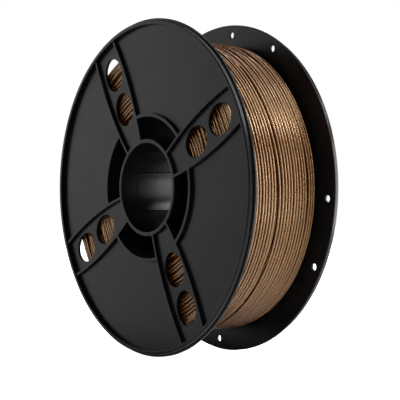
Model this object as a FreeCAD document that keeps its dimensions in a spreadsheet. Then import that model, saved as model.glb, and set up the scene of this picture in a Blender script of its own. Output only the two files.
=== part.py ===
"""Filament spool: two moulded flanges that snap together at the bore, a winding drum, and the filament.

The spool's axis is Y, +Z is up, and the origin is the middle of the bore. Each flange is drawn facing
+Y with one arm along +X, and its Placement then turns it into place.
"""
import FreeCAD, Part
import math
import os
import Sketcher

SIZES = [
    ("spool_width", 64.0, "overall, over both lips"),
    ("flange_radius", 100.0, "disc edge of a flange"),
    ("web_thickness", 1.6, "flat plate of a flange"),
    ("lip_height", 2.5, "outer lip above the plate"),
    ("lip_inset", 1.2, "lip's outer wall in from the disc edge"),
    ("lip_width", 2.4, "lip's flat top"),
    ("edge_chamfer", 0.4, "rim and lip corners"),
    ("rib_height", 1.9, "arm ribs, ring rib and bore tube above the plate"),
    ("rib_thickness", 1.6, "arm ribs"),
    ("bore_radius", 26.5, "hole for the holder's shaft"),
    ("tube_wall", 2.3, "bore tube"),
    ("ring_radius", 42.0, "inside of the ring rib"),
    ("ring_thickness", 2.2, "ring rib"),
    ("arm_count", 4, "arms on a flange"),
    ("arm_angle", 28.6, "first arm up from +X, degrees"),
    ("arm_half_hub", 7.5, "arm centre to rib centre at the bore tube"),
    ("arm_half_middle", 12.4, "the same at the arm's middle"),
    ("arm_half_lip", 11.2, "the same at the lip"),
    ("arm_middle_radius", 62.0, "where an arm's middle width is taken"),
    ("window_length", 20.8, "oval window, along the arm"),
    ("window_width", 17.4, "oval window, across the arm"),
    ("inner_window_radius", 54.1, "centre of the inner window"),
    ("outer_window_radius", 78.7, "centre of the outer window"),
    ("parking_hole_diameter", 4.0, "holes that hold the filament's loose end"),
    ("parking_hole_radius", 93.8, "their distance from the axis"),
    ("parking_hole_spread", 12.5, "each side of the panel's middle, degrees"),
    ("tongue_reach", 20.0, "tongues run this far each side of the middle"),
    ("tongue_gap", 0.4, "free end of a tongue"),
    ("seam_angle", 0.7, "gap beside a tongue, degrees"),
    ("rear_tongue_angle", 51.3, "width of a rear tongue, degrees"),
    ("tongue_turn", 22.85, "rear tongues from the arms, degrees"),
    ("drum_wall", 1.6, "winding drum"),
    ("drum_inset", 0.8, "drum's inside, in from the ring rib's inside"),
    ("drum_clearance", 0.3, "drum to its seat, and to the filament"),
    ("seat_height", 1.5, "rim that locates the drum's end"),
    ("seat_thickness", 1.2, "the same rim"),
    ("winding_radius", 86.5, "outside of the wound filament"),
    ("winding_gap", 0.8, "filament to a flange"),
    ("groove_width", 1.0, "gap between the two groups of turns"),
    ("groove_depth", 1.6, "the same gap"),
    ("groove_offset", 0.7, "the same gap, from the spool's middle"),
]

doc = FreeCAD.newDocument("filament_spool")
sheet = doc.addObject("Spreadsheet::Sheet", "Sizes")
for row, (alias, value, note) in enumerate(SIZES, start=1):
    sheet.set("A%d" % row, note)
    sheet.set("B%d" % row, str(value))
    sheet.setAlias("B%d" % row, alias)
doc.recompute()


class Size:
    """A size with its value for drawing, and the sheet expression that keeps it live."""

    def __init__(self, value, text):
        self.value = float(value)
        self.text = text

    def __add__(self, other):
        return Size(self.value + as_size(other).value, "(%s + %s)" % (self.text, as_size(other).text))

    def __sub__(self, other):
        return Size(self.value - as_size(other).value, "(%s - %s)" % (self.text, as_size(other).text))

    def __mul__(self, other):
        return Size(self.value * as_size(other).value, "(%s * %s)" % (self.text, as_size(other).text))

    def __truediv__(self, other):
        return Size(self.value / as_size(other).value, "(%s / %s)" % (self.text, as_size(other).text))

    def __neg__(self):
        return Size(-self.value, "(-1 * %s)" % self.text)


def as_size(number):
    return number if isinstance(number, Size) else Size(number, "%g" % number)


def size(alias):
    return Size(sheet.get(alias), "Sizes." + alias)


def leg(long_side, short_side):
    """The third side of a right-angled triangle: how far along an arm a circle is met."""
    value = math.sqrt(long_side.value ** 2 - short_side.value ** 2)
    return Size(value, "sqrt(%s ^ 2 - %s ^ 2)" % (long_side.text, short_side.text))


def polar(radius, degrees):
    turn = math.radians(degrees.value)
    return (Size(radius.value * math.cos(turn), "(%s * cos(%s))" % (radius.text, degrees.text)),
            Size(radius.value * math.sin(turn), "(%s * sin(%s))" % (radius.text, degrees.text)))


half_width = size("spool_width") / 2
plate_front = half_width - size("lip_height")
plate_back = plate_front - size("web_thickness")
rib_top = plate_front + size("rib_height")
tube_radius = size("bore_radius") + size("tube_wall")
lip_radius = size("flange_radius") - size("lip_inset")
drum_inside = size("ring_radius") - size("drum_inset")
drum_outside = drum_inside + size("drum_wall")
half_pitch = as_size(180) / size("arm_count")


def vector(point):
    return FreeCAD.Vector(point[0].value, point[1].value, 0)


def new_body(label):
    body = doc.addObject("PartDesign::Body", label)
    body.Label = label
    return body


def new_sketch(body, name, plane, height=None):
    """A sketch on one of the body's origin planes; on XZ_Plane, height is its place along +Y."""
    sketch = body.newObject("Sketcher::SketchObject", name)
    sketch.AttachmentSupport = [(feature, "") for feature in body.Origin.OriginFeatures
                                if feature.Role == plane]
    sketch.MapMode = "FlatFace"
    if height:
        sketch.AttachmentOffset.Base = FreeCAD.Vector(0, 0, -height.value)
        sketch.setExpression(".AttachmentOffset.Base.z", (-height).text)
    return sketch


def drive(sketch, kind, *references):
    """Add a constraint whose last reference is the Size that drives it."""
    driver = references[-1]
    index = sketch.addConstraint(Sketcher.Constraint(kind, *references[:-1], driver.value))
    sketch.setExpression("Constraints[%d]" % index, driver.text)


def pin(sketch, geometry, end, point):
    drive(sketch, "DistanceX", -1, 1, geometry, end, point[0])
    drive(sketch, "DistanceY", -1, 1, geometry, end, point[1])


def join(sketch, first, first_end, second, second_end):
    sketch.addConstraint(Sketcher.Constraint("Coincident", first, first_end, second, second_end))


def outline(sketch, points):
    """A closed outline of straight lines."""
    first = sketch.GeometryCount
    for start, end in zip(points, points[1:] + points[:1]):
        sketch.addGeometry(Part.LineSegment(vector(start), vector(end)), False)
    for number, point in enumerate(points):
        join(sketch, first + number, 2, first + (number + 1) % len(points), 1)
        pin(sketch, first + number, 1, point)


def circle(sketch, radius, centre=None):
    middle = vector(centre) if centre else FreeCAD.Vector()
    ring = sketch.addGeometry(Part.Circle(middle, FreeCAD.Vector(0, 0, 1), radius.value), False)
    if centre:
        pin(sketch, ring, 3, centre)
    else:
        join(sketch, ring, 3, -1, 1)
    drive(sketch, "Radius", ring, radius)


def wedge(sketch, middle, half_angle):
    """A triangle from the axis to well outside the bore tube, about the angle middle."""
    axis = FreeCAD.Vector()
    low_corner = polar(tube_radius * 2, middle - half_angle)
    high_corner = polar(tube_radius * 2, middle + half_angle)
    low = sketch.addGeometry(Part.LineSegment(axis, vector(low_corner)), False)
    far = sketch.addGeometry(Part.LineSegment(vector(low_corner), vector(high_corner)), False)
    high = sketch.addGeometry(Part.LineSegment(vector(high_corner), axis), False)
    join(sketch, low, 1, -1, 1)
    join(sketch, high, 2, -1, 1)
    join(sketch, low, 2, far, 1)
    join(sketch, far, 2, high, 1)
    pin(sketch, far, 1, low_corner)
    pin(sketch, far, 2, high_corner)


def oval(sketch, distance):
    """A window whose long axis lies along the arm, at a distance from the spool's axis."""
    long_half = size("window_length") / 2
    short_half = size("window_width") / 2
    ellipse = Part.Ellipse(FreeCAD.Vector(distance.value, 0, 0), long_half.value, short_half.value)
    window = sketch.addGeometry(ellipse, False)
    sketch.exposeInternalGeometry(window)
    sketch.addConstraint(Sketcher.Constraint("Horizontal", window + 1))
    sketch.addConstraint(Sketcher.Constraint("PointOnObject", window, 3, -1))
    drive(sketch, "DistanceX", -1, 1, window, 3, distance)
    drive(sketch, "Distance", window + 1, size("window_length"))
    drive(sketch, "Distance", window + 2, size("window_width"))


def arm_edge(side, shift):
    """Three points of a rib's curve: in the bore tube's wall, at the arm's middle, and in the lip."""
    tube_middle = tube_radius - size("tube_wall") / 2
    lip_middle = lip_radius - size("lip_width") / 2
    halves = [size(name) + shift for name in ("arm_half_hub", "arm_half_middle", "arm_half_lip")]
    reaches = [leg(tube_middle, halves[0]), size("arm_middle_radius"), leg(lip_middle, halves[2])]
    return [(reach, half * side) for reach, half in zip(reaches, halves)]


def ribbon(sketch, first_edge, second_edge):
    """A closed shape between two curves, each an arc through three points, with straight ends."""
    ends = []
    for start, middle, end in (first_edge, second_edge):
        arc = sketch.addGeometry(Part.Arc(vector(start), vector(middle), vector(end)), False)
        first_gap, second_gap = [(sketch.getPoint(arc, point) - vector(start)).Length for point in (1, 2)]
        start_end, end_end = (1, 2) if first_gap < second_gap else (2, 1)
        pin(sketch, arc, start_end, start)
        pin(sketch, arc, end_end, end)
        mark = sketch.addGeometry(Part.Point(vector(middle)), True)
        pin(sketch, mark, 1, middle)
        sketch.addConstraint(Sketcher.Constraint("PointOnObject", mark, 1, arc))
        ends.append((arc, start_end, end_end, start, end))
    (one, one_start, one_end, near_one, far_one), (two, two_start, two_end, near_two, far_two) = ends
    near = sketch.addGeometry(Part.LineSegment(vector(near_one), vector(near_two)), False)
    far = sketch.addGeometry(Part.LineSegment(vector(far_one), vector(far_two)), False)
    join(sketch, near, 1, one, one_start)
    join(sketch, near, 2, two, two_start)
    join(sketch, far, 1, one, one_end)
    join(sketch, far, 2, two, two_end)


def revolve(body, name, points):
    """Turn an outline of (radius, place along Y) about the spool's axis."""
    sketch = new_sketch(body, name + "_outline", "XY_Plane")
    outline(sketch, points)
    feature = body.newObject("PartDesign::Revolution", name)
    feature.Profile = sketch
    feature.ReferenceAxis = (sketch, ["V_Axis"])
    feature.Angle = 360
    return feature


def extrude(body, name, kind, sketch, length, inward):
    """A Pad or Pocket between the sketch and a plane further in or further out along Y."""
    feature = body.newObject("PartDesign::" + kind, name)
    feature.Profile = sketch
    feature.Reversed = inward if kind == "Pocket" else not inward
    if length:
        feature.Length = length.value
        feature.setExpression("Length", length.text)
    else:
        feature.Type = "ThroughAll"
    return feature


def around_axis(body, feature, sketch):
    """Repeat a feature for every arm."""
    pattern = body.newObject("PartDesign::PolarPattern", feature.Name + "_set")
    pattern.Originals = [feature]
    pattern.Axis = (sketch, ["N_Axis"])
    pattern.Angle = 360
    pattern.setExpression("Occurrences", "Sizes.arm_count")
    body.Tip = pattern


def arm_feature(body, name, kind, edges, height, length, inward):
    sketch = new_sketch(body, name + "_outline", "XZ_Plane", height)
    for first_edge, second_edge in edges:
        ribbon(sketch, first_edge, second_edge)
    around_axis(body, extrude(body, name, kind, sketch, length, inward), sketch)


def flange(label, prefix, spaces, slot):
    """One moulding. spaces and slot are (middle angle, half angle) cuts in the bore tube."""
    body = new_body(label)
    chamfer = size("edge_chamfer")
    ring_outside = size("ring_radius") + size("ring_thickness")
    revolve(body, prefix + "plate", [
        (size("ring_radius"), plate_back),
        (size("ring_radius"), rib_top),
        (ring_outside, rib_top),
        (ring_outside, plate_front),
        (size("flange_radius") - chamfer, plate_front),
        (size("flange_radius"), plate_front - chamfer),
        (size("flange_radius"), plate_back + chamfer),
        (size("flange_radius") - chamfer, plate_back),
    ])
    half_rib = size("rib_thickness") / 2
    centre_lines = [(arm_edge(1, as_size(0)), arm_edge(-1, as_size(0)))]
    outer_lines = [(arm_edge(1, half_rib), arm_edge(-1, half_rib))]
    rib_lines = [(arm_edge(side, half_rib), arm_edge(side, -half_rib)) for side in (1, -1)]
    arm_feature(body, prefix + "arm_channel", "Pocket", centre_lines, rib_top, size("rib_height"), True)
    arm_feature(body, prefix + "arm_floor", "Pad", outer_lines, plate_front, size("web_thickness"), True)
    revolve(body, prefix + "bore_tube", [
        (size("bore_radius"), size("tongue_gap") - size("tongue_reach")),
        (size("bore_radius"), rib_top),
        (tube_radius, rib_top),
        (tube_radius, size("tongue_gap") - size("tongue_reach")),
    ])
    revolve(body, prefix + "lip", [
        (lip_radius - size("lip_width"), plate_back),
        (lip_radius - size("lip_width"), half_width),
        (lip_radius - chamfer, half_width),
        (lip_radius, half_width - chamfer),
        (lip_radius, plate_back),
    ])
    arm_feature(body, prefix + "arm_ribs", "Pad", rib_lines, rib_top,
                size("rib_height") + size("web_thickness"), True)
    seat_inside = drum_outside + size("drum_clearance")
    revolve(body, prefix + "drum_seat", [
        (seat_inside, plate_front),
        (seat_inside, plate_back - size("seat_height")),
        (seat_inside + size("seat_thickness"), plate_back - size("seat_height")),
        (seat_inside + size("seat_thickness"), plate_front),
    ])
    gaps = new_sketch(body, prefix + "tongue_outline", "XZ_Plane", size("tongue_reach"))
    wedge(gaps, *spaces)
    if slot:
        wedge(gaps, *slot)
    around_axis(body, extrude(body, prefix + "tongue_spaces", "Pocket", gaps,
                              size("tongue_reach") * 2, True), gaps)
    return body


def cut_windows(body):
    """Two oval windows through each arm, which show how much filament is left."""
    windows = new_sketch(body, "window_outline", "XZ_Plane")
    oval(windows, size("inner_window_radius"))
    oval(windows, size("outer_window_radius"))
    around_axis(body, extrude(body, "windows", "Pocket", windows, None, False), windows)


def cut_parking_holes(body):
    """A pair of small holes near the rim of each panel."""
    holes = new_sketch(body, "parking_outline", "XZ_Plane")
    for side in (1, -1):
        place = polar(size("parking_hole_radius"), half_pitch + size("parking_hole_spread") * side)
        circle(holes, size("parking_hole_diameter") / 2, place)
    around_axis(body, extrude(body, "parking_holes", "Pocket", holes, None, False), holes)


def winding_drum():
    body = new_body("winding_drum")
    sketch = new_sketch(body, "drum_outline", "XZ_Plane")
    circle(sketch, drum_inside)
    circle(sketch, drum_outside)
    pad = body.newObject("PartDesign::Pad", "drum_tube")
    pad.Profile = sketch
    pad.Midplane = True
    pad.Length = (plate_back * 2).value
    pad.setExpression("Length", (plate_back * 2).text)
    return body


def filament_winding():
    """The wound filament as one plain ring, stepped over the drum seats, with its groove."""
    body = new_body("filament_winding")
    inside = drum_outside + size("drum_clearance")
    over_seat = inside + size("seat_thickness") + size("drum_clearance")
    side = plate_back - size("winding_gap")
    step = plate_back - size("seat_height") - size("drum_clearance")
    groove_low = size("groove_offset") - size("groove_width") / 2
    groove_high = size("groove_offset") + size("groove_width") / 2
    groove_floor = size("winding_radius") - size("groove_depth")
    revolve(body, "wound_turns", [
        (inside, -step),
        (over_seat, -step),
        (over_seat, -side),
        (size("winding_radius"), -side),
        (size("winding_radius"), groove_low),
        (groove_floor, groove_low),
        (groove_floor, groove_high),
        (size("winding_radius"), groove_high),
        (size("winding_radius"), side),
        (over_seat, side),
        (over_seat, step),
        (inside, step),
    ])
    return body


def place_flanges(front, rear):
    """Turn both flanges so that their arms line up, and face the front one towards -Y."""
    turn = "rotation(vector(0; 1; 0); -1 * Sizes.arm_angle)"
    about_face = "rotation(vector(0; 0; 1); 180)"
    rear.setExpression("Placement", "placement(vector(0; 0; 0); %s)" % turn)
    front.setExpression("Placement", "placement(vector(0; 0; 0); %s * %s)" % (turn, about_face))


rear_half = size("rear_tongue_angle") / 2
front_middle = half_pitch - size("tongue_turn")
front_spaces = (size("tongue_turn"), rear_half + size("seam_angle"))
rear_spaces = (front_middle, half_pitch - rear_half)
front_slot = (-front_middle, size("seam_angle") / 2)
front_flange = flange("front_flange", "front_", front_spaces, front_slot)
cut_windows(front_flange)
rear_flange = flange("rear_flange", "rear_", rear_spaces, None)
cut_parking_holes(rear_flange)
place_flanges(front_flange, rear_flange)
pieces = [front_flange, rear_flange, winding_drum(), filament_winding()]
doc.recompute()

for item in doc.Objects:
    if "Invalid" in item.State or "Error" in item.State:
        raise RuntimeError("%s did not build: %s" % (item.Label, item.State))
os.makedirs("parts", exist_ok=True)
for piece in pieces:
    shape = piece.Shape
    if shape.isNull() or not shape.isValid() or len(shape.Solids) != 1:
        raise RuntimeError("%s is not one sound solid" % piece.Label)
    shape.exportStep("parts/%s.step" % piece.Label)
    box = shape.BoundBox
    print(piece.Label, "%.0f mm3" % shape.Volume, "x %.1f y %.1f..%.1f z %.1f" % (
        box.XLength, box.YMin, box.YMax, box.ZLength))
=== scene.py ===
"""Looks of a filament spool: two moulded black flanges on a drum, and bronze-filled filament between them.

Metres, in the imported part's frame. The spool's axis is Y, the front flange faces -Y and the rims stand on the
floor. Places on the spool are given as an angle from +X towards +Z in degrees, a radius from the axis, and a
depth along Y.
"""
import math
import random

import bmesh
import bpy
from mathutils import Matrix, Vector


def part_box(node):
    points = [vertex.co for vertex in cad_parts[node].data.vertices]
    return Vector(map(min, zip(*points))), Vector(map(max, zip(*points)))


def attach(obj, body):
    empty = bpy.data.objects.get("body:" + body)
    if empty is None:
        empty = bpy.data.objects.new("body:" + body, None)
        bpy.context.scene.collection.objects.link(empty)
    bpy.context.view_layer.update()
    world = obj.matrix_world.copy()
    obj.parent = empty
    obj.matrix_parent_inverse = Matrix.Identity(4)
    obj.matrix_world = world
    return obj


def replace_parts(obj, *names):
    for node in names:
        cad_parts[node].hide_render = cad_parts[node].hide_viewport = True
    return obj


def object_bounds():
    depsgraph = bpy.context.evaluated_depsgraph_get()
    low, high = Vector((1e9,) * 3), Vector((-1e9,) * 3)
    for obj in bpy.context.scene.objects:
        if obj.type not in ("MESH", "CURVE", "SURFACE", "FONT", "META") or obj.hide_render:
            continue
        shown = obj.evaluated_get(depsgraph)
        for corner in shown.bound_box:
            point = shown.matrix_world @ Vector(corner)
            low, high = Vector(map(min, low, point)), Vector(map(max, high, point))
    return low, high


MM = 0.001
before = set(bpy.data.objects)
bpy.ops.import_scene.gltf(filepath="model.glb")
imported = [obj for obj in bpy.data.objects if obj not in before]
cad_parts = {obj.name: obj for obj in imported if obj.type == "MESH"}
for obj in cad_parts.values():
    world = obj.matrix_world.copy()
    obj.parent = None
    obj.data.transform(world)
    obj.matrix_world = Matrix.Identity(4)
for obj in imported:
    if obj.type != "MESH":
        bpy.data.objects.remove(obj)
cad_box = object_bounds()

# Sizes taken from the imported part
WINDING_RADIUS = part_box("filament_winding")[1].x
WINDING_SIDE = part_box("filament_winding")[1].y
DRUM_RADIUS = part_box("winding_drum")[1].x

# The mouldings
EDGE_ROUNDING = 0.25 * MM
SHARP_CORNER = 45               # degrees between two faces, above which their edge is a corner
WELD = 0.002 * MM               # points closer than this are one

# The filament and how its layers lie
STRAND = 1.75 * MM
TURNS_PER_LAYER = 25
PARTED_AFTER_TURN = 12          # the top layer opens between this turn and the next, counted from the rear
PARTING = 1.5 * MM              # by which those two turns stand further apart than the others
LAYER_STEP = 1.6 * MM           # from one layer down to the next
SIDE_STEP = 2.25 * MM           # between the turns that show on the winding's two sides
FLANGE_ZONE = 5 * MM            # next to each flange, where the layers sink
TOP_SINK, UNDER_SINK = 1.1 * MM, 1.0 * MM

# The top layer
TOP_POINTS_PER_TURN = 120
STEP_OVER_FROM, STEP_OVER_TO = -35, 50    # degrees, where every turn steps over by one pitch
OFF_PLACE = 0.07                # mm that a turn may lie to either side of its place
END_DIVE = 1.9 * MM             # the strand's two ends go down this far
END_DIVE_TURNS = 0.07           # within this share of a turn
TANGLE_ANGLE, TANGLE_SPREAD = 74, 20      # degrees, where turns ride over each other
TANGLE_LIFT = 0.9 * MM
TANGLE_PACE_ASIDE, TANGLE_PACE_UP = 1.31, 1.77    # so that the two wobbles don't move together
HOPPING_TURN = 3                # this one rides up on its neighbour
HOP_ANGLE, HOP_SPREAD = 2, 13   # degrees
HOP_ASIDE = 0.5                 # of a pitch
HOP_LIFT = 0.7                  # mm

# The layer beneath it
UNDER_POINTS_PER_TURN = 90
UNDER_STEP_OVER = 0.2           # share of each turn in which it steps over
UNDER_START_ANGLE = 10          # degrees

# Stretches near the top that ride slantwise over the others
CROSSING_STRETCHES = 22
CROSSING_FIRST_ANGLES = (46, 78)    # degrees
CROSSING_SPREADS = (20, 34)         # degrees
CROSSING_DEPTHS = (-16, 22)         # mm
CROSSING_DRIFTS = (2.5, 6.5)        # mm along the axis, either way
CROSSING_RIDES = (0.3, 0.9)         # mm above the top layer
CROSSING_DIVE = 2.6 * MM            # each end goes down this far
CROSSING_DIVE_SHARE = 0.28          # within this share of the stretch
CROSSING_STEPS = 40

# The turns against the flanges
SIDE_POINTS_PER_TURN = 96
SIDE_ABOVE_DRUM = 2.2 * MM
SIDE_ROUNDS = (1.80, 1.95)      # turns that each strand makes at the side
SIDE_CLIMB_STARTS = (0.9, 1.02)    # turns gone when it climbs to the next place
SIDE_CLIMB_TURNS = 0.12
SIDE_SUNK = (0, 0.5)            # mm back from the winding's side
SIDE_WOBBLE = 0.22 * MM
SIDE_DIVE = 2.3 * MM            # each end goes this far in
SIDE_DIVE_TURNS = 0.09

# The body of ridges deep inside
CORE_LAYERS_DOWN = 1.85         # layers from the top one to its ridges
CORE_ABOVE_DRUM = 0.5 * MM
CORE_STRANDS_IN = 1.35          # strand widths from the winding's side to its face
CORE_AROUND = 90
RIDGE_POINTS = 4

# The studio
AZIMUTH, ELEVATION, DISTANCE = 53.75, -0.17, 0.809
LENS = 120.15
SHIFT = (0.0283, -0.0310)
FLOOR_REACH, FLOOR_SIDES = 3.0, 64
FILL, BACKDROP = 0.06, 1.0      # what the world throws on the spool, and what stands behind it
SOFTBOXES = (
    # name, azimuth and elevation in degrees, distance, width and height in metres, watts
    ("side_softbox", 98, 14, 1.3, (0.22, 1.1), 12),
    ("front_softbox", -60, 14, 1.7, (1.2, 1.2), 9.1),
    ("window_softbox", 20, 35, 1.5, (0.4, 0.4), 9),
    ("top_softbox", 118, 54, 1.3, (0.55, 0.9), 19),
    ("overhead_softbox", 180, 72, 1.3, (1.2, 0.3), 9.5),
    ("bore_card", 130, 0, 0.229, (0.11, 0.16), 0.8),
    ("bore_strip", 138, 37, 0.9, (0.3, 0.08), 5.5),
    ("back_softbox", 234, 6, 1.6, (1.6, 1.2), 12),
)


# ---------------------------------------------------------------- materials

MIX_FACTOR, MIX_FROM, MIX_TO, MIX_RESULT = 0, 6, 7, 2      # a colour mix node's own sockets


def linear(colour):
    """An sRGB hex colour as the linear RGBA that shaders take."""
    channels = [int(colour[i:i + 2], 16) / 255 for i in (1, 3, 5)]
    return [c / 12.92 if c <= 0.04045 else ((c + 0.055) / 1.055) ** 2.4 for c in channels] + [1.0]


def per_size(size):
    """The texture scale that gives features of this size in metres."""
    return 1 / size


def add_node(tree, kind, settings=None, inputs=None):
    """Adds a node. settings are its own properties; inputs are values, or outputs of other nodes to link."""
    made = tree.nodes.new(kind)
    for name, value in (settings or {}).items():
        setattr(made, name, value)
    for name, value in (inputs or {}).items():
        if isinstance(value, bpy.types.NodeSocket):
            tree.links.new(value, made.inputs[name])
        else:
            made.inputs[name].default_value = value
    return made


def new_material(name):
    made = bpy.data.materials.new(name)
    made.use_nodes = True
    made.node_tree.nodes.clear()
    return made, made.node_tree


def moulded_black_polystyrene(name, glossiest, dullest, shine):
    """Injection-moulded black polystyrene: nearly black, satin, and uneven in gloss where it flowed."""
    made, tree = new_material(name)
    place = add_node(tree, "ShaderNodeTexCoord").outputs["Object"]
    # Spark-eroded grain is about 0.1 mm across, drawn at 0.5 mm so that it shows
    grain = add_node(tree, "ShaderNodeTexNoise", inputs={
        "Vector": place, "Scale": per_size(0.5 * MM), "Detail": 3.0, "Roughness": 0.6})
    # Flow marks spread about 35 mm across the panels
    flow = add_node(tree, "ShaderNodeTexNoise", inputs={
        "Vector": place, "Scale": per_size(35 * MM), "Detail": 2.0, "Roughness": 0.45})
    # Handling leaves small pale scuffs, about 3 mm apart and mostly absent
    scuffs = add_node(tree, "ShaderNodeTexNoise", inputs={
        "Vector": place, "Scale": per_size(3 * MM), "Detail": 6.0, "Roughness": 0.75})
    scuff_mask = add_node(tree, "ShaderNodeMapRange", inputs={
        "Value": scuffs.outputs["Fac"], "From Min": 0.60, "From Max": 0.78, "To Min": 0.0, "To Max": 0.6})
    colour = add_node(tree, "ShaderNodeMix", {"data_type": "RGBA"}, {
        MIX_FACTOR: scuff_mask.outputs["Result"], MIX_FROM: linear("#060607"), MIX_TO: linear("#222223")})
    gloss = add_node(tree, "ShaderNodeMapRange", inputs={
        "Value": flow.outputs["Fac"], "From Min": 0.3, "From Max": 0.7,
        "To Min": glossiest, "To Max": dullest})
    relief = add_node(tree, "ShaderNodeBump", inputs={
        "Height": grain.outputs["Fac"], "Strength": 0.25, "Distance": 0.03 * MM})
    waviness = add_node(tree, "ShaderNodeBump", inputs={
        "Height": flow.outputs["Fac"], "Strength": 0.3, "Distance": 0.3 * MM,
        "Normal": relief.outputs["Normal"]})
    shader = add_node(tree, "ShaderNodeBsdfPrincipled", inputs={
        "Base Color": colour.outputs[MIX_RESULT], "Roughness": gloss.outputs["Result"],
        "IOR": 1.59, "Specular IOR Level": shine, "Normal": waviness.outputs["Normal"]})
    add_node(tree, "ShaderNodeOutputMaterial", inputs={"Surface": shader.outputs[0]})
    return made


def extruded_bronze_filament():
    """Bronze-filled PLA, extruded: warm brown with a satin metal glint, slightly uneven along the strand."""
    made, tree = new_material("extruded_bronze_filament")
    place = add_node(tree, "ShaderNodeTexCoord").outputs["Object"]
    # Metal powder, about 0.05 mm, drawn at 1.7 mm so that it shows as a faint unevenness along the strand, in
    # relief and as lighter flecks that are partly a painted glint
    powder = add_node(tree, "ShaderNodeTexNoise", inputs={
        "Vector": place, "Scale": per_size(1.7 * MM), "Detail": 0.0})
    # The mix varies slowly along the strand, over about 9 mm
    batch = add_node(tree, "ShaderNodeTexNoise", inputs={
        "Vector": place, "Scale": per_size(9 * MM), "Detail": 3.0, "Roughness": 0.6})
    tone = add_node(tree, "ShaderNodeMapRange", inputs={
        "Value": batch.outputs["Fac"], "From Min": 0.35, "From Max": 0.65, "To Min": 0.0, "To Max": 1.0})
    brown = add_node(tree, "ShaderNodeValToRGB", inputs={"Fac": tone.outputs["Result"]})
    brown.color_ramp.elements[0].color = linear("#2d1402")
    brown.color_ramp.elements[1].color = linear("#391c04")
    # Lighter flecks where the powder lies: partly the powder's own colour, partly a painted glint of its metal
    powder_and_glint_mask = add_node(tree, "ShaderNodeMapRange", inputs={
        "Value": powder.outputs["Fac"], "From Min": 0.58, "From Max": 0.75, "To Min": 0.0, "To Max": 0.18})
    colour = add_node(tree, "ShaderNodeMix", {"data_type": "RGBA"}, {
        MIX_FACTOR: powder_and_glint_mask.outputs["Result"], MIX_FROM: brown.outputs["Color"],
        MIX_TO: linear("#7a5530")})
    gloss = add_node(tree, "ShaderNodeMapRange", inputs={
        "Value": batch.outputs["Fac"], "From Min": 0.3, "From Max": 0.7, "To Min": 0.30, "To Max": 0.26})
    relief = add_node(tree, "ShaderNodeBump", inputs={
        "Height": powder.outputs["Fac"], "Strength": 0.06, "Distance": 0.02 * MM})
    shader = add_node(tree, "ShaderNodeBsdfPrincipled", inputs={
        "Base Color": colour.outputs[MIX_RESULT], "Roughness": gloss.outputs["Result"],
        "IOR": 1.50, "Specular IOR Level": 1.0, "Specular Tint": linear("#ffd5a2"),
        "Normal": relief.outputs["Normal"]})
    add_node(tree, "ShaderNodeOutputMaterial", inputs={"Surface": shader.outputs[0]})
    return made


def matt_white_card():
    """Matt white card for the floor: no gloss, so that it only takes a soft shadow."""
    made, tree = new_material("matt_white_card")
    place = add_node(tree, "ShaderNodeTexCoord").outputs["Object"]
    # Paper fibres clump over about 2 mm
    fibre = add_node(tree, "ShaderNodeTexNoise", inputs={
        "Vector": place, "Scale": per_size(2 * MM), "Detail": 3.0})
    relief = add_node(tree, "ShaderNodeBump", inputs={
        "Height": fibre.outputs["Fac"], "Strength": 0.05, "Distance": 0.05 * MM})
    # The floor glows up to the backdrop's white for the camera alone. That glow throws no light on the spool
    seen = add_node(tree, "ShaderNodeLightPath").outputs["Is Camera Ray"]
    shader = add_node(tree, "ShaderNodeBsdfPrincipled", inputs={
        "Base Color": linear("#f4f4f3"), "Roughness": 0.9, "Normal": relief.outputs["Normal"],
        "Emission Color": linear("#ffffff"), "Emission Strength": seen})
    add_node(tree, "ShaderNodeOutputMaterial", inputs={"Surface": shader.outputs[0]})
    return made


# ---------------------------------------------------------------- meshes

def show(name, mesh, material):
    """Puts a mesh in the scene as a smooth-shaded piece that rides on the spool."""
    mesh.materials.clear()
    mesh.materials.append(material)
    mesh.polygons.foreach_set("use_smooth", [True] * len(mesh.polygons))
    piece = bpy.data.objects.new(name, mesh)
    bpy.context.scene.collection.objects.link(piece)
    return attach(piece, "root")


def on_spool(angle, radius, depth):
    """The point at this angle in degrees, radius and depth."""
    turn = math.radians(angle)
    return radius * math.cos(turn), depth, radius * math.sin(turn)


def ease(x):
    """0 below 0, 1 above 1, and smooth between."""
    x = min(max(x, 0), 1)
    return x * x * (3 - 2 * x)


def hill(x):
    """1 at 0, falling smoothly to nearly nothing by about 2 either way."""
    return math.exp(-x * x)


class Wander:
    """A slow seeded wobble along a strand, given in turns, of about the stated size."""

    def __init__(self, seed, size, waves=(0.6, 1.7, 3.1, 5.3)):
        draw = random.Random(seed)
        self.parts = [(size / (k + 1), w * draw.uniform(0.85, 1.15), draw.uniform(0, math.tau))
                      for k, w in enumerate(waves)]

    def at(self, turns):
        return sum(a * math.sin(w * math.tau * turns + p) for a, w, p in self.parts)


def sweep_strands(paths, sides):
    """A mesh of round strands along paths of (angle, radius, depth), with closed ends."""
    points, faces = [], []
    for path in paths:
        for angle, radius, depth in path:
            for side in range(sides):
                round_it = math.tau * side / sides
                points.append(on_spool(angle, radius + STRAND / 2 * math.cos(round_it),
                                       depth + STRAND / 2 * math.sin(round_it)))
        first = len(points) - sides * len(path)
        for k in range(len(path) - 1):
            a, b = first + k * sides, first + (k + 1) * sides
            faces += [(a + s, a + (s + 1) % sides, b + (s + 1) % sides, b + s) for s in range(sides)]
        faces.append([first + s for s in reversed(range(sides))])
        faces.append([len(points) - sides + s for s in range(sides)])
    mesh = bpy.data.meshes.new("strands")
    mesh.from_pydata(points, [], faces)
    return mesh


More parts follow.
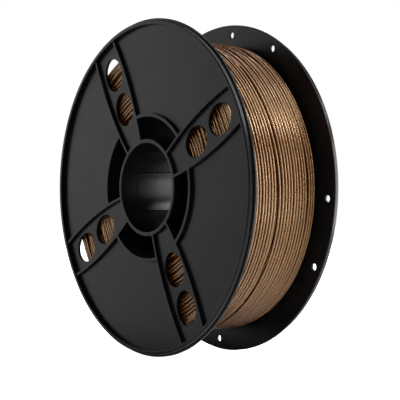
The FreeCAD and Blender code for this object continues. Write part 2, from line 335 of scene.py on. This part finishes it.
def moulded_copy(node, name, material):
    """A CAD moulding with its outer corners rounded, as moulds leave them. Its inner corners stay sharp."""
    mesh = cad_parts[node].data.copy()
    for layer in [a for a in mesh.attributes if a.name == "custom_normal"]:
        mesh.attributes.remove(layer)
    shape = bmesh.new()
    shape.from_mesh(mesh)
    bmesh.ops.remove_doubles(shape, verts=shape.verts, dist=WELD)
    corners = [e for e in shape.edges if e.is_convex and e.calc_face_angle() > math.radians(SHARP_CORNER)]
    bmesh.ops.bevel(shape, geom=corners, offset=EDGE_ROUNDING, offset_type="OFFSET", segments=2, profile=0.5,
                    affect="EDGES", clamp_overlap=False)
    for edge in shape.edges:
        edge.smooth = edge.calc_face_angle() < math.radians(SHARP_CORNER)
    shape.to_mesh(mesh)
    shape.free()
    piece = show(name, mesh, material)
    # The largest faces set the shading at their edges, so the panels look flat
    even = piece.modifiers.new("flat_panels", "WEIGHTED_NORMAL")
    even.weight = 100
    even.keep_sharp = True
    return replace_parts(piece, node)


# ---------------------------------------------------------------- winding

def layer_pitch():
    return (2 * WINDING_SIDE - STRAND - PARTING) / (TURNS_PER_LAYER - 1)


def turn_depth(turn):
    """The resting depth of a turn of the top layer, counted from the rear."""
    depth = WINDING_SIDE - STRAND / 2 - turn * layer_pitch()
    return depth - PARTING if turn > PARTED_AFTER_TURN else depth


def near_flange(depth):
    """0 in the middle of the winding, rising to 1 at its sides."""
    return ease((abs(depth) - (WINDING_SIDE - FLANGE_ZONE)) / FLANGE_ZONE)


def top_layer():
    """One strand from the rear flange to the front one. In one zone of each turn it steps over by a pitch."""
    aside, lift = Wander(11, 0.06 * MM), Wander(12, 0.05 * MM)
    tangle = Wander(13, 0.45 * MM, (0.97, 2.03, 3.9))
    draw = random.Random(14)
    own_depth = [draw.uniform(-OFF_PLACE, OFF_PLACE) * MM for _ in range(TURNS_PER_LAYER + 1)]
    start, crossing = STEP_OVER_TO / 360, (STEP_OVER_TO - STEP_OVER_FROM) / 360
    steps = round(TOP_POINTS_PER_TURN * (TURNS_PER_LAYER - crossing))
    limit = WINDING_SIDE - STRAND / 2
    path = []
    for k in range(steps + 1):
        gone = k / TOP_POINTS_PER_TURN
        turn, part = int(gone), gone - int(gone)
        angle = 360 * (start + gone)
        over = ease((part - (1 - crossing)) / crossing)
        here = turn_depth(turn) + own_depth[turn]
        there = turn_depth(turn + 1) + own_depth[turn + 1]
        depth = here + (there - here) * over + aside.at(gone)
        radius = WINDING_RADIUS - STRAND / 2 + lift.at(gone)
        seen = (angle + 180) % 360 - 180
        tangled = hill((seen - TANGLE_ANGLE) / TANGLE_SPREAD)
        depth += tangled * tangle.at(gone * TANGLE_PACE_ASIDE)
        radius += tangled * (TANGLE_LIFT + tangle.at(gone * TANGLE_PACE_UP))
        if turn == HOPPING_TURN:
            hop = hill((seen - HOP_ANGLE) / HOP_SPREAD)
            depth, radius = depth - hop * HOP_ASIDE * layer_pitch(), radius + hop * HOP_LIFT * MM
        ends_in = min(gone, steps / TOP_POINTS_PER_TURN - gone)
        radius -= END_DIVE * (1 - ease(ends_in / END_DIVE_TURNS))
        radius -= TOP_SINK * near_flange(depth)
        path.append((angle, radius, min(max(depth, -limit), limit)))
    return path


def under_layer():
    """The layer beneath, laid the other way, which shows dark between the top turns."""
    aside, lift = Wander(21, 0.12 * MM), Wander(22, 0.06 * MM)
    pitch = (2 * WINDING_SIDE - STRAND) / (TURNS_PER_LAYER - 0.5)
    path = []
    for k in range(round(UNDER_POINTS_PER_TURN * (TURNS_PER_LAYER - 1))):
        gone = k / UNDER_POINTS_PER_TURN
        part = gone - int(gone)
        over = ease((part - (1 - UNDER_STEP_OVER)) / UNDER_STEP_OVER)
        depth = -WINDING_SIDE + STRAND * 0.75 + pitch * (int(gone) + over) + aside.at(gone)
        radius = WINDING_RADIUS - STRAND / 2 - LAYER_STEP + lift.at(gone)
        radius -= UNDER_SINK * near_flange(depth)
        path.append((360 * gone + UNDER_START_ANGLE, radius, depth))
    return path


def crossing_turns():
    """Loose stretches that each come up, ride slantwise over a few turns, and dive."""
    draw = random.Random(17)
    paths = []
    for _ in range(CROSSING_STRETCHES):
        first, spread = draw.uniform(*CROSSING_FIRST_ANGLES), draw.uniform(*CROSSING_SPREADS)
        depth = draw.uniform(*CROSSING_DEPTHS) * MM
        drift = draw.choice((-1, 1)) * draw.uniform(*CROSSING_DRIFTS) * MM
        ride = draw.uniform(*CROSSING_RIDES) * MM
        path = []
        for k in range(CROSSING_STEPS + 1):
            part = k / CROSSING_STEPS
            up = ease(min(part, 1 - part) / CROSSING_DIVE_SHARE)
            radius = WINDING_RADIUS - STRAND / 2 + ride - CROSSING_DIVE * (1 - up)
            path.append((first + spread * part, radius, depth + drift * part))
        paths.append(path)
    return paths


def side_strands(side):
    """The turns against a flange: each comes up at the side, goes round, climbs one place and dives in."""
    draw = random.Random(31 + side)
    outermost, innermost = WINDING_RADIUS - STRAND / 2 - 2 * LAYER_STEP, DRUM_RADIUS + SIDE_ABOVE_DRUM
    pairs = int((outermost - innermost) / (2 * SIDE_STEP)) + 1
    face = WINDING_SIDE - STRAND / 2
    paths = []
    for pair in range(pairs):
        low = outermost - (2 * pair + 1) * SIDE_STEP
        start = draw.uniform(0, 360)
        rounds = draw.uniform(*SIDE_ROUNDS)
        climb_at = draw.uniform(*SIDE_CLIMB_STARTS)
        aside, lift = Wander(draw.random(), SIDE_WOBBLE), Wander(draw.random(), SIDE_WOBBLE)
        sunk = draw.uniform(*SIDE_SUNK) * MM
        path = []
        steps = round(SIDE_POINTS_PER_TURN * rounds)
        for k in range(steps + 1):
            gone = k / SIDE_POINTS_PER_TURN
            climbed = ease((gone - climb_at) / SIDE_CLIMB_TURNS)
            at_side = ease(min(gone, steps / SIDE_POINTS_PER_TURN - gone) / SIDE_DIVE_TURNS)
            radius = low + SIDE_STEP * climbed + lift.at(gone)
            depth = face - sunk - abs(aside.at(gone)) - SIDE_DIVE * (1 - at_side)
            path.append((start + 360 * gone, radius, side * depth))
        paths.append(path)
    return paths


def winding_core():
    """What is deep inside: a body of turned ridges, one for each turn, behind the gaps between strands."""
    ridge = STRAND / 2
    outside = WINDING_RADIUS - STRAND / 2 - CORE_LAYERS_DOWN * LAYER_STEP
    inside = DRUM_RADIUS + CORE_ABOVE_DRUM
    face = WINDING_SIDE - STRAND * CORE_STRANDS_IN
    side_ridges = int((outside - ridge - inside) / SIDE_STEP)
    side_step = (outside - ridge - inside) / side_ridges
    # How far out each point of a ridge stands: 0 in the valley, 1 on the crest
    bulges = [math.sin(math.pi * j / RIDGE_POINTS) for j in range(RIDGE_POINTS)]

    def flank(side):
        """The ridged side of the section as (radius, depth), from the inside out."""
        return [(inside + (k + j / RIDGE_POINTS) * side_step, side * (face + ridge * (bulge - 1)))
                for k in range(side_ridges) for j, bulge in enumerate(bulges)]

    outline = flank(-1)
    outline += [(outside + ridge * (bulge - 1), -face + 2 * face * (k + j / RIDGE_POINTS) / TURNS_PER_LAYER)
                for k in range(TURNS_PER_LAYER) for j, bulge in enumerate(bulges)]
    outline += [(outside - ridge, face)] + flank(1)[::-1]

    points = [on_spool(360 * a / CORE_AROUND, radius, depth)
              for a in range(CORE_AROUND) for radius, depth in outline]
    n = len(outline)
    faces = []
    for a in range(CORE_AROUND):
        here, there = a * n, (a + 1) % CORE_AROUND * n
        faces += [(here + i, here + (i + 1) % n, there + (i + 1) % n, there + i) for i in range(n)]
    mesh = bpy.data.meshes.new("winding_core")
    mesh.from_pydata(points, [], faces)
    return mesh


def wind_filament(material):
    made = {
        "top_layer_strand": sweep_strands([top_layer()], 10),
        "crossing_strands": sweep_strands(crossing_turns(), 10),
        "under_layer_strand": sweep_strands([under_layer()], 7),
        "front_side_strands": sweep_strands(side_strands(-1), 8),
        "rear_side_strands": sweep_strands(side_strands(1), 8),
        "inner_turns": winding_core(),
    }
    for name, mesh in made.items():
        shape = bmesh.new()
        shape.from_mesh(mesh)
        bmesh.ops.recalc_face_normals(shape, faces=shape.faces)
        shape.to_mesh(mesh)
        shape.free()
        piece = show(name, mesh, material)
        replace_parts(piece, "filament_winding")


# ---------------------------------------------------------------- studio

def away(azimuth, elevation, distance):
    """A point round the spool: azimuth 0 is in front, on -Y, and 90 is on +X; degrees."""
    a, e = math.radians(azimuth), math.radians(elevation)
    return distance * Vector((math.sin(a) * math.cos(e), -math.cos(a) * math.cos(e), math.sin(e)))


def softbox(name, azimuth, elevation, distance, size, power):
    lamp = bpy.data.lights.new(name, "AREA")
    lamp.shape, lamp.size, lamp.size_y, lamp.energy = "RECTANGLE", size[0], size[1], power
    holder = bpy.data.objects.new(name, lamp)
    holder.location = away(azimuth, elevation, distance)
    holder.rotation_euler = holder.location.to_track_quat("Z", "Y").to_euler()
    bpy.context.scene.collection.objects.link(holder)


def white_world():
    """A faint light from all round for the spool, and a white backdrop for the camera."""
    world = bpy.data.worlds.new("white_studio")
    world.use_nodes = True
    tree = world.node_tree
    tree.nodes.clear()
    white = linear("#ffffff")
    lighting = add_node(tree, "ShaderNodeBackground", inputs={"Color": white, "Strength": FILL})
    backdrop = add_node(tree, "ShaderNodeBackground", inputs={"Color": white, "Strength": BACKDROP})
    seen = add_node(tree, "ShaderNodeLightPath").outputs["Is Camera Ray"]
    both = add_node(tree, "ShaderNodeMixShader", inputs={
        0: seen, 1: lighting.outputs[0], 2: backdrop.outputs[0]})
    add_node(tree, "ShaderNodeOutputWorld", inputs={"Surface": both.outputs[0]})
    bpy.context.scene.world = world


def lay_floor():
    mesh = bpy.data.meshes.new("floor")
    turns = [math.tau * k / FLOOR_SIDES for k in range(FLOOR_SIDES)]
    edge = [(FLOOR_REACH * math.cos(turn), FLOOR_REACH * math.sin(turn), 0) for turn in turns]
    mesh.from_pydata(edge, [], [list(range(FLOOR_SIDES))])
    mesh.materials.append(matt_white_card())
    floor = bpy.data.objects.new("floor", mesh)
    floor.location.z = cad_box[0].z
    bpy.context.scene.collection.objects.link(floor)


def set_camera():
    lens = bpy.data.cameras.new("camera")
    lens.lens = LENS
    lens.shift_x, lens.shift_y = SHIFT
    camera = bpy.data.objects.new("camera", lens)
    camera.location = away(AZIMUTH, ELEVATION, DISTANCE)
    camera.rotation_euler = camera.location.to_track_quat("Z", "Y").to_euler()
    bpy.context.scene.collection.objects.link(camera)
    bpy.context.scene.camera = camera


# ---------------------------------------------------------------- the spool

black_plastic = moulded_black_polystyrene("moulded_black_polystyrene", 0.26, 0.34, 0.08)
moulded_copy("front_flange", "front_flange_moulding", black_plastic)
moulded_copy("rear_flange", "rear_flange_moulding", black_plastic)
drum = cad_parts["winding_drum"]
drum.data.materials.clear()
drum.data.materials.append(moulded_black_polystyrene("matt_moulded_black_polystyrene", 0.62, 0.72, 0.02))
wind_filament(extruded_bronze_filament())

for box in SOFTBOXES:
    softbox(*box)
white_world()
lay_floor()
set_camera()
bpy.context.scene.view_settings.view_transform = "Standard"
